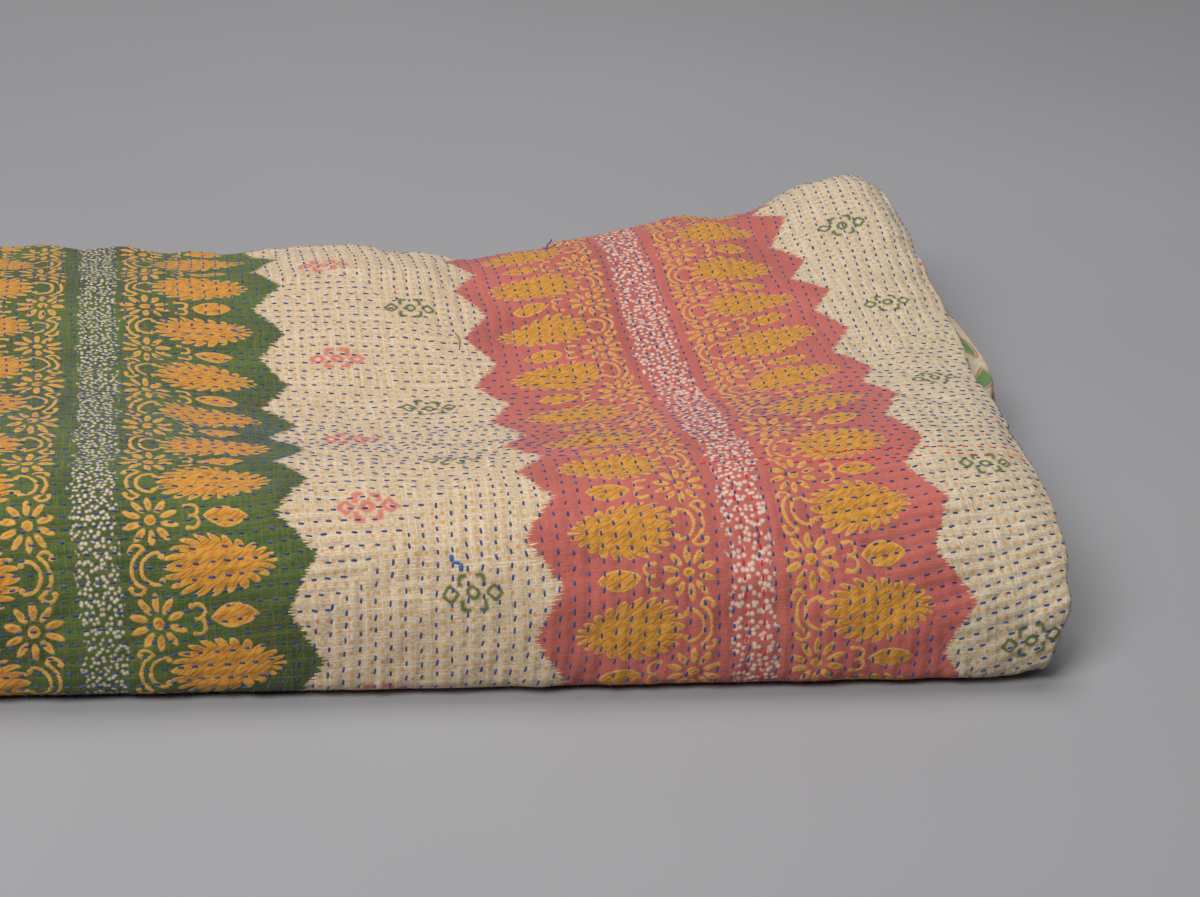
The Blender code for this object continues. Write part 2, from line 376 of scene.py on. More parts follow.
# %% [markdown]
# ## Flat pattern space
# A print is made on flat cloth, so it needs flat coordinates. The first, s, runs along the
# long side and then on round the fold at the right end. The second, t, is the length of cloth
# measured up from the nose of the front roll. The weave lies a little askew to the fold, so t
# leans with s. Both are kept in millimetres here, and in metres in the UV map.

# %% Cloth coordinates
S_START = 102.0             # s at x = 0
BORDER_START = 4.0          # s of the middle of a green border
BORDER_GAP = 277.0          # from the middle of one border to the next, which is pink
PINK_REACH = 96.5           # half width of the pink border
SKEW = 0.078                # how much the weave leans against the fold line
NOSE_START = -5.5           # t at the nose, before the lean


def cloth_coordinates(points):
    """(s, t) in mm: s along the ring, t the arc length along the face layer from the nose."""
    steps = np.linalg.norm(np.diff(points[:, :face_columns], axis=0), axis=2)
    arc = np.vstack([np.zeros(face_columns), np.cumsum(steps, axis=0)])
    arc -= arc[nose_row]
    outer = face_columns + END_STEPS - 1 + COARSE_COLUMNS + 1
    across = np.linalg.norm(np.diff(points[:, face_columns - 1:outer], axis=1), axis=2)
    s = points[:, :, 0] + S_START * MM
    s[:, face_columns:outer] = s[:, face_columns - 1:face_columns] + np.cumsum(across, axis=1)
    s /= MM
    t = arc[:, np.round(ring_share * (face_columns - 1)).astype(int)] / MM
    return s, t + NOSE_START - SKEW * s


# How far the printed rows have wandered off the regular net, in mm. For each t: how much higher
# they are everywhere, how much more they climb across the pink border, and then how much
# further right the middle of the green border, of the pink one, and its right teeth are.
PRINT_WANDER = (
    (-40, 0, -2, 5, 2, 3), (0, -1, -1, 4, 0, 2), (50, 0, 7, 0, -2, -2), (88, 0, 7, -2, 0, -4),
    (123, -6, 25, 0, -2, 2), (156, 2, 27, 0, 1, 6), (178, 6, 20, 1, 1, 4), (218, 5, 22, 1, -1, 2),
    (244, 3, 27, 1, -2, 3), (278, 2, 22, 1, -3, 1), (307, 3, 10, 1, -3, -5), (351, 2, 10, 1, -3, -7),
    (450, 0, 0, 0, -4, -4),
)


def print_places(s, t):
    """Where each place of the cloth lies on the printing block: its s and t less the wander."""
    at, *columns = np.array(PRINT_WANDER, float).T
    lift, rise, green, pink, right = (smooth_table(t, at, column) for column in columns)
    pink_share = ease((s - BORDER_START) / BORDER_GAP)
    right_share = ease((s - BORDER_START - BORDER_GAP) / PINK_REACH)
    shift = green + (pink - green) * pink_share + (right - pink) * right_share
    climb = rise * np.clip((s - BORDER_START - BORDER_GAP + PINK_REACH) / (2 * PINK_REACH), 0, 1)
    return np.stack([s - shift, t - lift - climb], axis=-1)


cloth_s, cloth_t = cloth_coordinates(flat_points)
print("cloth s from %.0f to %.0f mm, t from %.0f to %.0f mm" % (
    cloth_s.min(), cloth_s.max(), cloth_t.min(), cloth_t.max()))

# %% [markdown]
# ## Soft relief
# Hand quilting never lies flat. The rows of stitches draw the cloth together, so its face
# carries soft ripples one to three centimetres long, and about twenty larger creases. The
# ripples are a sum of a few dozen waves with random directions, and each crease is one trough
# or ridge, placed one by one on the cloth.

# %% Relief of the face
RIPPLE_SEED = 11
RIPPLES = ((30.0, 0.40), (16.0, 0.20), (9.5, 0.09))    # wavelength and height, mm
RIPPLE_WAVES, RIPPLE_SPREAD = 12, (0.75, 1.35)          # waves of each, and their unlike lengths
RELIEF_FADE = 6             # rows over which the relief fades in and out
FLAT_BELOW = (1, 6)         # mm: up to which height the underside is flat, and the fade above it
UNDERSIDE_LIFT = 0.45 * MM  # the stitches underneath carry the cloth this far off the floor
# s, t, length, width, turn in degrees and height of each crease
CREASES = (
    (-8, 24, 50, 4, 62, -1.3), (22, 14, 46, 4, 70, -1.1), (-22, 50, 40, 6, 80, 0.8),
    (118, 262, 90, 16, 4, 1.6), (150, 214, 110, 12, 10, -1.2), (60, 196, 80, 14, -12, -0.9),
    (210, 268, 50, 12, 75, -1.8), (236, 292, 60, 16, 70, 1.7), (186, 150, 70, 9, 14, -0.8),
    (330, 170, 60, 9, -18, -1.5), (352, 196, 60, 9, -14, 1.2), (392, 150, 46, 8, -30, -1.4),
    (300, 128, 90, 12, 6, 0.8), (90, 120, 90, 14, -4, 0.7), (240, 84, 80, 9, 12, -0.7),
    (380, 60, 50, 10, 78, 0.8), (-120, 60, 70, 10, 20, -0.8), (-180, 150, 80, 14, -16, 1.2),
    (-90, 250, 80, 14, 12, -1.0), (-200, 270, 70, 12, 60, 1.2), (-150, -120, 90, 12, 30, -0.6),
)


def ripples(s, t):
    """Sum of waves: each has a random direction and phase, and heights fall with the wavelength."""
    random = np.random.default_rng(RIPPLE_SEED)
    height = np.zeros_like(s)
    for wavelength, size in RIPPLES:
        turns = random.uniform(0, np.pi, RIPPLE_WAVES)
        numbers = 2 * np.pi / (wavelength * random.uniform(*RIPPLE_SPREAD, RIPPLE_WAVES))
        phases = random.uniform(0, 2 * np.pi, RIPPLE_WAVES)
        for turn, number, phase in zip(turns, numbers, phases):
            along = s * np.cos(turn) + t * np.sin(turn)
            height += size * np.sqrt(2 / RIPPLE_WAVES) * np.sin(number * along + phase)
    return height


def creases(s, t):
    """Sum of the creases: a bell across its width, and a longer bell along its length."""
    height = np.zeros_like(s)
    for at_s, at_t, length, width, turn, size in CREASES:
        turn = np.radians(turn)
        along = (s - at_s) * np.cos(turn) + (t - at_t) * np.sin(turn)
        across = (t - at_t) * np.cos(turn) - (s - at_s) * np.sin(turn)
        height += size * np.exp(-(2 * along / length) ** 2 - (across / width) ** 2)
    return height


def outward(points):
    """Unit normals of the grid, from the cross product of its two directions."""
    normal = np.cross(np.gradient(points, axis=1), np.gradient(points, axis=0))
    return normal / np.maximum(np.linalg.norm(normal, axis=2, keepdims=True), 1e-12)


def relief_points(points, s, t):
    """The grid moved out along its normals, fading to nothing where the fine face ends."""
    fine = np.flatnonzero(row_is_fine)
    row = np.arange(len(points))
    fade = ease((row - fine[0]) / RELIEF_FADE) * ease((fine[-1] - row) / RELIEF_FADE)
    columns = np.arange(points.shape[1])
    fade = fade[:, None] * ease((face_columns + END_STEPS - columns) / END_STEPS)
    under = ease((points[:, :, 2] - FLAT_BELOW[0] * MM) / (FLAT_BELOW[1] * MM))
    height = (ripples(s, t) + creases(s, t)) * MM * fade * under
    moved = points + outward(points) * height[:, :, None]
    moved[:, :, 2] = np.maximum(moved[:, :, 2], UNDERSIDE_LIFT)
    return moved


points = relief_points(flat_points, cloth_s, cloth_t)
print("relief, mm: up to", round(float(np.abs(points - flat_points).max()) / MM, 2))

# %% [markdown]
# ## The cloth mesh
# The grid becomes one closed mesh. Where a coarse row meets the fine face, each wide cell gets
# the extra points as corners of its own, so no seam opens between the two densities.

# %% Mesh of the cloth


def number_points():
    """Index of every grid point that the mesh uses, or -1 where the grid is thinned out."""
    used = row_is_fine[:, None] | ring_coarse[None, :]
    number = np.full(used.shape, -1)
    number[used] = np.arange(used.sum())
    return number, used


def grid_faces(number):
    """Quads between fine rows, quads between coarse rows, and wide cells along their border."""
    columns = np.arange(number.shape[1])
    coarse = columns[ring_coarse]
    faces, face_row = [], []
    for row in range(len(number) - 1):
        below_fine, above_fine = row_is_fine[row], row_is_fine[row + 1]
        line = columns if below_fine and above_fine else coarse
        nxt = np.roll(line, -1)
        quads = np.stack([number[row, line], number[row, nxt],
                          number[row + 1, nxt], number[row + 1, line]], axis=1)
        if below_fine != above_fine:
            for i in range(COARSE_COLUMNS):
                extra = np.arange(i * FINE_PER_COARSE, (i + 1) * FINE_PER_COARSE + 1)
                cell = [*number[row, extra], *number[row + 1, extra[::-1]]]
                faces.append([int(corner) for corner in cell if corner >= 0])
            quads = quads[COARSE_COLUMNS:]
        faces.extend(quads.tolist())
        face_row.extend([row] * (len(faces) - len(face_row)))
    for row, flip in ((0, False), (len(number) - 1, True)):
        loop = number[row, coarse]
        half = len(loop) // 2
        i = np.arange(half - 1)
        cap = np.stack([loop[i + 1], loop[i], loop[-1 - i], loop[-2 - i]], axis=1)
        faces.extend((cap[:, ::-1] if flip else cap).tolist())
        face_row.extend([row] * (len(faces) - len(face_row)))
    return faces, np.array(face_row)


def new_object(name, vertices, faces, uv=None, smooth=True):
    """Mesh object at the origin from arrays, with a UV map in metres if uv is given."""
    mesh = bpy.data.meshes.new(name)
    mesh.from_pydata(vertices.tolist(), [], faces)
    if smooth:
        mesh.shade_smooth()
    if uv is not None:
        corner = np.empty(len(mesh.loops), int)
        mesh.loops.foreach_get("vertex_index", corner)
        layer = mesh.uv_layers.new(name="cloth")
        layer.data.foreach_set("uv", uv[corner].astype(np.float32).ravel())
    made = bpy.data.objects.new(name, mesh)
    bpy.context.scene.collection.objects.link(made)
    return made


def triangles(thing):
    """Triangles that a mesh object has once its faces are split."""
    return sum(len(face.vertices) - 2 for face in thing.data.polygons)


def volume(thing):
    """Signed volume in litres, which is above zero when the faces point outwards."""
    solid = bmesh.new()
    solid.from_mesh(thing.data)
    litres = 1000 * solid.calc_volume(signed=True)
    solid.free()
    return litres


point_number, point_used = number_points()
print_uv = print_places(cloth_s, cloth_t) * MM
cloth_faces, face_row = grid_faces(point_number)
quilt = new_object("quilted_cloth", points[point_used], cloth_faces, print_uv[point_used])
print("cloth:", triangles(quilt), "triangles,", round(volume(quilt), 2), "litres")

# %% [markdown]
# ## Finishes from nodes
# Every finish here is a node material. One function adds a node with its settings and its
# inputs and hands back the socket that the next node needs, so a pattern reads like a sum.
# A finish gets that function, bound to its own node tree, under the name add. Colours are
# written as the hex values a dyer's shade card would give, and one function turns them into
# the linear values that the shader works with.

# %% Node and colour helpers
VECTOR, MIX, RANGE, NOISE, SPLIT = (
    "ShaderNodeVectorMath", "ShaderNodeMix", "ShaderNodeMapRange", "ShaderNodeTexNoise",
    "ShaderNodeSeparateXYZ")
# A Mix node has its two numbers at inputs 2 and 3, and its two colours at 6 and 7
NUMBERS, COLOURS = {"order": (0, 2, 3)}, {"order": (0, 6, 7), "out": 2, "data_type": "RGBA"}


def linear(dye):
    """RGBA for a shader from an sRGB hex value: the standard sRGB curve, undone."""
    value = np.array([int(dye[i:i + 2], 16) for i in (0, 2, 4)]) / 255
    value = np.where(value <= 0.04045, value / 12.92, ((value + 0.055) / 1.055) ** 2.4)
    return (*value.tolist(), 1.0)


def node(tree, kind, *inputs, order=range(5), out=0, **settings):
    """Adds one node, fills its inputs in the given order and returns an output. A setting with a
    capital is an input too. A kind that doesn't start with Shader is a Math node's operation."""
    if not kind.startswith("Shader"):
        kind, settings = "ShaderNodeMath", {"operation": kind}
    made = tree.nodes.new(kind)
    for key, value in [*settings.items(), *zip(order, inputs)]:
        if isinstance(key, str) and key[0].islower():
            setattr(made, key, value)
        elif isinstance(value, bpy.types.NodeSocket):
            tree.links.new(value, made.inputs[key])
        else:
            made.inputs[key].default_value = value
    return made.outputs[out]


def new_material(name, values, finish):
    """Material with a Principled shader: plain values, then the sockets that finish(add) returns."""
    material = bpy.data.materials.new(name)
    material.use_nodes = True
    tree = material.node_tree
    sockets = tree.nodes["Principled BSDF"].inputs
    for socket, value in values.items():
        sockets[socket].default_value = value
    for socket, source in finish(partial(node, tree)).items():
        tree.links.new(source, sockets[socket])
    return material


def two_shades(add, dark, light, scale, detail, low, high):
    """Base colour that goes from a dark shade to a light one in slow noise."""
    place = add("ShaderNodeTexCoord", out=3)
    share = add(NOISE, place, Scale=scale, Detail=detail)
    share = add(RANGE, share, low, high, 0.0, 1.0)
    return {"Base Color": add(MIX, share, linear(dark), linear(light), **COLOURS)}


print("half grey in linear light:", round(linear("808080")[0], 3))

# %% [markdown]
# ## The print
# The face is a block-printed sari: cream ground, and broad borders that run across the quilt.
# Each border has a plain edge cut in teeth, a row of mango leaves, a column of daisies and
# scrolls, and a stripe of white dots in the middle. Both halves mirror each other, so one
# distance d from the middle of the border describes them, and a second distance along the
# border folds every repeat onto one tooth. Each motif is then a plain formula of those two,
# in millimetres: positive inside the motif and negative outside it. The largest of all
# motifs wins, and a little thread-wide noise in d gives every edge the comb of the weave.

# %% Sizes of the print, mm
GREEN_REACH = 90.0          # half width of a green border
TOOTH = 43.6                # repeat along the border
TOOTH_START = -1.5          # t of a tooth's tip
TOOTH_DEPTH = 14.0
DOT_STRIPE = (8.7, 1.8)     # half width of the stripe of white dots, and how much wider it is on pink
DOT_WAVER = 10.0            # how far its edges waver
DOT_GAP = (2.35, 0.55)      # from dot to dot, and how much more it is on pink
DOT_RADIUS = (0.14, 0.30, 0.035)    # shares of the gap: the least, what noise adds, what pink adds
LEAF = {"middle": 54.5, "length": 23.5, "height": 14.0, "waist": 0.93, "taper": 0.24,
        "fingers": 22, "lean": 0.45, "tip": 1.02, "cleft": 0.33, "point": 2.5, "slope": 0.8}
LENS = {"middle": 58.5, "length": 9.9, "height": 4.9}
DAISY = {"middle": 27.0, "petals": 10, "petal_middle": 8.1, "petal_length": 3.5,
         "petal_width": 1.45, "heart": 2.3}
# Drawn lines: at which row, d and distance from the row of the arc's middle, its radius,
# its half width, and the part that is kept, as the sign and limit of d or of the distance
STROKES = (
    ("tip", 28.2, 0.0, 9.7, 0.72, "d", -1, 23.6),
    ("tip", 20.5, 7.6, 3.0, 0.70, "a", 1, 8.1),
    ("tip", 29.3, 0.0, 6.9, 0.70, "d", -1, 30.0),
    ("notch", 43.6, 2.9, 2.9, 0.70, "d", 1, 42.4),
)
KNOBS = (("tip", 17.8, 7.8, 1.15), ("tip", 30.3, 5.3, 1.25), ("notch", 41.6, 5.6, 1.0))
BRUSH_TURN, BRUSH_STRETCH = 32, 4.5     # slant in degrees of the strokes in the leaves, and stretch
GREEN_RIGHT_SHIFT = 4.5     # how much nearer its middle the green border's right half is printed
# d of the small rosettes left of a green border, what is added right of it and beside a pink
# one, and how far the coral dye has spread; place, radius, half width and point of their rings;
# and their hooks: the corner across and along, its rounding, half width, and where they end
ROSETTE_PLACE, ROSETTE_SPREAD = (108.0, 6.0, 14.0), 0.4
ROSETTE_RINGS = ((0.0, 2.2, 0.85, 0.76), (9.5, 2.8, 0.85, 0.84))
ROSETTE_HOOK = (5.2, 7.1, 3.0, 0.85, 1.9, 2.6)
GROUND_DOT = (4.4, 4.9)     # repeats of the soft dots along s and t
THREAD, THREAD_LENGTH = 0.8, 30.0   # thick threads, and how far one stays thick, mm
PRINT_DRIFT = ((36.0, 5.0), (5.0, 0.9))     # size and reach of the bends in the printed lines
DYE_PATCH, DOT_PATCH, PUCKER = 48.0, 9.0, 5.5   # how large these are, mm
COOL_FROM, COOL_TO = 280.0, 400.0   # s over which the cream turns cooler
MOTIF_FRAY, EDGE_FRAY = 1.2, 11.0    # how unevenly the dye ends along a thread
FRAY_LENGTH = 6.0           # mm along a thread over which that changes
SPECK, CREST_FROM, CREST_TO = 0.4, 0.44, 0.64   # share of specks in the weave, noise at its crests
CREST_PALE, CREST_WORN = 0.75, 0.20     # how much paler a bare crest is, and how bare a printed one
ROW_SINK, WEAVE_HEIGHT, PASTE_HEIGHT = 0.20, 0.09, (0.22, 0.10)     # relief in the bump, mm
SPRIG = {"turn": 80, "place": (19.0, 8.0), "repeat": (23.0, 11.0), "length": 15.5, "height": 4.6,
         "line_gap": 1.0, "line_half_width": 0.45}
ROW_GAP = 6.3               # between rows of stitches

SHADES = {"cream": "c2a986", "cool cream": "bcac8e", "pale": "e9dbc5", "tan": "c9975a",
          "green": "3f6330", "deep green": "27492a", "pink": "c26360", "deep pink": "ae5655",
          # the brownish orange below is partly painted shade in the strokes of the motifs, partly the
          # dye's own streaks
          # the paler orange below is a painted highlight on the edges of the motifs
          "orange": "d3983d", "painted highlight orange": "e9bd72", "shaded stroke orange": "b67730",
          "white": "dccabb", "coral": "d0766a", "leaf green": "4e6130", "red": "b8382f",
          "leaf light": "5f8a4c"}


def shade(name):
    """Linear colour of one dye by its name."""
    return linear(SHADES[name])


def largest(add, shapes):
    """The largest of several distances, so that shapes join into one."""
    return reduce(partial(add, "MAXIMUM"), shapes)


def smallest(add, shapes):
    """The smallest of several distances, so that only what the shapes share is left."""
    return reduce(partial(add, "MINIMUM"), shapes)


def distance(add, x, y, middle, reach=(1.0, 1.0)):
    """Distance from a middle: both coordinates in units of their reach, then Pythagoras."""
    place = add("ShaderNodeCombineXYZ", x, y)
    scale = (1 / reach[0], 1 / reach[1], 0.0)
    start = (-middle[0] / reach[0], -middle[1] / reach[1], 0.0)
    place = add(VECTOR, place, scale, start, operation="MULTIPLY_ADD")
    return add(VECTOR, place, operation="LENGTH", out=1)


def outline(add, away, radius, half_width):
    """Line along every place that lies one radius away."""
    return add("SUBTRACT", half_width, add("ABSOLUTE", add("SUBTRACT", away, radius)))


def arc_stroke(add, d, a, middle_d, middle_a, radius, half_width, axis, sign, limit):
    """Part of a ring: half width less the distance from the circle, cut off along one line."""
    inside = outline(add, distance(add, d, a, (middle_d, middle_a)), radius, half_width)
    return smallest(add, [inside, add("MULTIPLY_ADD", d if axis == "d" else a, sign, -sign * limit)])


def leaf_shape(add, d, a):
    """Mango leaf: an egg whose edge is cleft at equal angles, which leaves pointed fingers."""
    length, height = LEAF["length"], LEAF["height"]
    along = add("MULTIPLY_ADD", d, 1 / length, -LEAF["middle"] / length)
    across = add("DIVIDE", a, add("MULTIPLY_ADD", along, -LEAF["taper"] * height, height * LEAF["waist"]))
    away = distance(add, along, across, (0.0, 0.0))
    turn = add("ARCTAN2", across, along)
    lean = add("MULTIPLY", away, LEAF["lean"])
    phase = add("MULTIPLY", add("SUBTRACT", turn, lean), LEAF["fingers"] / (2 * np.pi))
    cleft = add("MULTIPLY_ADD", add("PINGPONG", phase, 0.5), -2.0, 1.0)
    edge = add("MULTIPLY_ADD", add("POWER", cleft, LEAF["point"]), -LEAF["cleft"], LEAF["tip"])
    return add("MULTIPLY", add("SUBTRACT", edge, away), height * LEAF["slope"])


def lens_shape(add, d, b, middle, length, height):
    """Almond: where two equal discs overlap."""
    radius = (length ** 2 + height ** 2) / (2 * height)
    away = distance(add, d, b, (middle, height - radius))
    return add("SUBTRACT", radius, away)


def daisy_shape(add, d, b):
    """Daisy: the angle is folded onto one petal, which is an ellipse, and a disc is the heart."""
    away = distance(add, d, b, (DAISY["middle"], 0.0))
    half = np.pi / DAISY["petals"]
    turn = add("ARCTAN2", b, add("SUBTRACT", d, DAISY["middle"]))
    side = add("MULTIPLY", away, add("PINGPONG", add("ADD", turn, half), half))
    width = DAISY["petal_width"]
    petal = distance(add, away, side, (DAISY["petal_middle"], 0.0), (DAISY["petal_length"], width))
    petal = add("MULTIPLY_ADD", petal, -width, width)
    return largest(add, [petal, add("SUBTRACT", DAISY["heart"], away)])


def paint(add, ground, shape, dye, strength=1.0, edge=0.35):
    """Lays a dye over the ground where the shape is above zero, with an edge as soft as cloth."""
    share = add(RANGE, shape, -edge, edge, 0.0, 1.0, interpolation_type="SMOOTHSTEP")
    share = add("MULTIPLY", share, strength)
    return add(MIX, share, ground, dye, **COLOURS)


# %% [markdown]
# The coordinates come first. Slow noise bends the printed rows a little, as a wooden block
# set down by hand does, and fast noise stretched along the thick weft frays every edge.

# %% Coordinates of the print


def flat_place(add):
    """Place on the flat cloth in mm, from the UV map in metres."""
    uv = add("ShaderNodeUVMap", uv_map="cloth")
    return add(VECTOR, uv, (1000.0, 1000.0, 0.0), operation="MULTIPLY")


def print_coordinates(add):
    """Sockets of the cloth places, and of how far each place is from the lines of the print."""
    flat = placed = flat_place(add)
    for size, reach in PRINT_DRIFT:
        drift = add(NOISE, flat, out=1, Scale=1 / size, Detail=1.0)
        placed = add(VECTOR, drift, (reach, reach, 0.0), placed, operation="MULTIPLY_ADD")
        placed = add(VECTOR, placed, (reach / 2, reach / 2, 0.0), operation="SUBTRACT")
    thread_place = add(VECTOR, flat, (1 / FRAY_LENGTH, 1 / THREAD, 0.0), operation="MULTIPLY")
    fray = add("ADD", add(NOISE, thread_place, Scale=1.0, Detail=1.0), -0.5)
    place = add(SPLIT, placed).node.outputs
    from_start = add("SUBTRACT", add("MULTIPLY_ADD", fray, MOTIF_FRAY, place[0]), BORDER_START)
    number = add("ROUND", add("DIVIDE", from_start, BORDER_GAP))
    signed = add("WRAP", from_start, BORDER_GAP / 2, -BORDER_GAP / 2)
    from_tip = add("SUBTRACT", place[1], TOOTH_START)
    tip = add("PINGPONG", from_tip, TOOTH / 2)
    d = add("PINGPONG", from_start, BORDER_GAP / 2)
    is_pink, is_right = add("PINGPONG", number, 1.0), add("GREATER_THAN", signed, 0.0)
    green_right = add("MAXIMUM", add("SUBTRACT", is_right, is_pink), 0.0)
    return {"flat": flat, "fray": fray, "from_tip": from_tip, "tip": tip, "d": d,
            "notch": add("SUBTRACT", TOOTH / 2, tip), "is_pink": is_pink, "is_right": is_right,
            "green_right": green_right,
            "motif_d": add("MULTIPLY_ADD", green_right, GREEN_RIGHT_SHIFT, d)}


def border_reach(add, c):
    """Half width of the border: straight teeth between tip and notch rows, on both colours."""
    full = add("MULTIPLY_ADD", c["is_pink"], PINK_REACH - GREEN_REACH, GREEN_REACH)
    reach = add("MULTIPLY_ADD", c["tip"], -TOOTH_DEPTH / (TOOTH / 2), full)
    reach = add("MULTIPLY_ADD", c["fray"], EDGE_FRAY, reach)
    return add("SUBTRACT", reach, c["d"])


def orange_motifs(add, c):
    """The largest of all orange shapes."""
    d = c["motif_d"]
    shapes = [leaf_shape(add, d, c["tip"]), daisy_shape(add, d, c["notch"]),
              lens_shape(add, d, c["notch"], **LENS)]
    for row, *stroke in STROKES:
        shapes.append(arc_stroke(add, d, c[row], *stroke))
    for row, middle_d, middle_a, radius in KNOBS:
        away = distance(add, d, c[row], (middle_d, middle_a))
        shapes.append(add("SUBTRACT", radius, away))
    return largest(add, shapes)


def pointed_ring(add, x, y, middle, radius, half_width, point):
    """Ring drawn out into four points: a circle, cut in by a square that stands on its corner."""
    away = distance(add, x, y, (middle, 0.0))
    corner = add("ADD", add("ABSOLUTE", add("SUBTRACT", x, middle)), y)
    return outline(add, largest(add, [away, add("MULTIPLY", corner, point)]), radius, half_width)


def rosettes(add, c):
    """Open rosettes at every second notch: rings in a row and four bent hooks around them."""
    start = add("MULTIPLY_ADD", c["is_right"], -TOOTH, -TOOTH / 2)
    along = add("PINGPONG", add("ADD", c["from_tip"], start), TOOTH)
    place, green_right, pink = ROSETTE_PLACE
    place = add("MULTIPLY_ADD", c["is_pink"], pink, place)
    place = add("MULTIPLY_ADD", c["green_right"], green_right, place)
    across = add("ABSOLUTE", add("SUBTRACT", c["d"], place))
    rings = [pointed_ring(add, across, along, *ring_sizes) for ring_sizes in ROSETTE_RINGS]
    corner_x, corner_y, rounding, half_width, from_x, from_y = ROSETTE_HOOK
    bent = add("SMOOTH_MAX", add("SUBTRACT", across, corner_x), add("SUBTRACT", along, corner_y), rounding)
    hook = smallest(add, [add("MULTIPLY_ADD", add("ABSOLUTE", bent), -1.0, half_width),
                          add("SUBTRACT", across, from_x), add("SUBTRACT", along, from_y)])
    spread = add("MULTIPLY_ADD", c["is_pink"], -ROSETTE_SPREAD, ROSETTE_SPREAD)
    return add("ADD", largest(add, [*rings, hook]), spread)


def white_dots(add, c):
    """Round dots at the cells of a loose Voronoi net, inside a wavering stripe."""
    gap = add("MULTIPLY_ADD", c["is_pink"], DOT_GAP[1], DOT_GAP[0])
    away = add("ShaderNodeTexVoronoi", c["flat"], voronoi_dimensions="2D",
               Scale=add("DIVIDE", 1.0, gap), Randomness=0.9)
    least, noise_adds, pink_adds = DOT_RADIUS
    size = add("MULTIPLY_ADD", add(NOISE, c["flat"], Scale=0.14), noise_adds, least)
    size = add("MULTIPLY_ADD", c["is_pink"], pink_adds, size)
    waver = add(NOISE, c["flat"], Scale=0.16, Detail=1.0)
    limit = add("MULTIPLY_ADD", waver, DOT_WAVER, DOT_STRIPE[0] - DOT_WAVER / 2)
    limit = add("MULTIPLY_ADD", c["is_pink"], DOT_STRIPE[1], limit)
    return smallest(add, [add("MULTIPLY", add("SUBTRACT", size, away), gap),
                          add("SUBTRACT", limit, c["d"])])


def ground_dots(add, flat):
    """Soft dots in a square net: the product of two cosines, each moved up to lie from 0 to 1."""
    turns = [add("MULTIPLY", place, 2 * np.pi / repeat)
             for place, repeat in zip(add(SPLIT, flat).node.outputs, GROUND_DOT)]
    waves = [add("MULTIPLY_ADD", add("COSINE", turn), 0.5, 0.5) for turn in turns]
    return add(RANGE, add("MULTIPLY", *waves), 0.45, 0.85, 0.0, 1.0, interpolation_type="SMOOTHSTEP")


# %% [markdown]
# ## The printed cotton
# Old, much washed cotton voile and muslin, plain woven from thick and thin threads and printed
# with dye paste. To the eye it is wholly matt, the dye sits in the threads and misses their
# crests, and the quilting rows throw a soft light and shade over it. The weave and the puckers
# are bump here, because they are finer than the mesh.

# %% Printed cotton


def weave_crest(add, flat):
    """0 to 1: noise drawn out along each thread direction; the larger of the two is the crest."""
    across, along = 1 / THREAD, 1 / THREAD_LENGTH
    *lines, speck = [add(NOISE, add(VECTOR, flat, (*scale, 0.0), operation="MULTIPLY"),
                         Scale=1.0, Detail=detail)
                     for scale, detail in (((along, across), 1.0), ((across, along), 1.0),
                                           ((0.5 * across, across), 1.5))]
    crest = add(MIX, SPECK, largest(add, lines), speck, **NUMBERS)
    return add(RANGE, crest, CREST_FROM, CREST_TO, 0.0, 1.0)


def unprinted(add, crest, cream):
    """Bare cotton: the crests of its threads are paler than the rest."""
    light = add("MULTIPLY", crest, CREST_PALE)
    return add(MIX, light, cream, shade("pale"), **COLOURS)


def cream_ground(add, flat, crest):
    """Bare cotton, cooler at the right, with soft tan dots that are stronger in some places."""
    right = add(RANGE, add(SPLIT, flat), COOL_FROM, COOL_TO, 0.0, 1.0)
    cream = add(MIX, right, shade("cream"), shade("cool cream"), **COLOURS)
    some = add(NOISE, flat, Scale=1 / DOT_PATCH, Detail=2.0)
    some = add(RANGE, some, 0.36, 0.62, 0.35, 1.0)
    dots = add("MULTIPLY", ground_dots(add, flat), some)
    return add(MIX, dots, unprinted(add, crest, cream), shade("tan"), **COLOURS)


def orange_dye(add, flat, motif):
    """Two oranges in slanting brush strokes, the darker one partly painted shade, and a painted highlight:
    a paler line just inside every edge.
    """
    turned = {"Rotation": (0.0, 0.0, np.radians(BRUSH_TURN)), "Scale": (BRUSH_STRETCH, 1.0, 1.0)}
    strokes = add("ShaderNodeMapping", flat, vector_type="TEXTURE", **turned)
    strokes = add(NOISE, strokes, Scale=1.0, Detail=1.0)
    strokes = add(RANGE, strokes, 0.40, 0.56, 0.0, 1.0)
    # the darker orange in the strokes is partly painted shade between raised threads, partly the dye's own
    # streaks
    orange = add(MIX, strokes, shade("shaded stroke orange"), shade("orange"), **COLOURS)
    # painted highlight: a paler orange just inside every edge of a motif
    highlight_rim = add(RANGE, motif, 0.1, 1.1, 0.6, 0.0)
    return add(MIX, highlight_rim, orange, shade("painted highlight orange"), **COLOURS)


def printed_colour(add, c, crest, motif, dots):
    """Ground, border, motifs and dots laid over each other in the order of the printing blocks."""
    dye = add(MIX, c["is_pink"], shade("coral"), shade("leaf green"), **COLOURS)
    ground = paint(add, cream_ground(add, c["flat"], crest), rosettes(add, c), dye, 0.92, 0.7)
    patch = add(NOISE, c["flat"], Scale=1 / DYE_PATCH, Detail=2.0)
    patch = add(RANGE, patch, 0.36, 0.66, 0.0, 1.0)
    green, pink = [add(MIX, patch, shade(dye), shade("deep " + dye), **COLOURS)
                   for dye in ("green", "pink")]
    border = add(MIX, c["is_pink"], green, pink, **COLOURS)
    worn = add("MULTIPLY", crest, CREST_WORN)
    border = add(MIX, worn, border, shade("tan"), **COLOURS)
    colour = paint(add, ground, border_reach(add, c), border)
    colour = paint(add, colour, motif, orange_dye(add, c["flat"], motif))
    return paint(add, colour, dots, shade("white"), 0.92, 0.5)


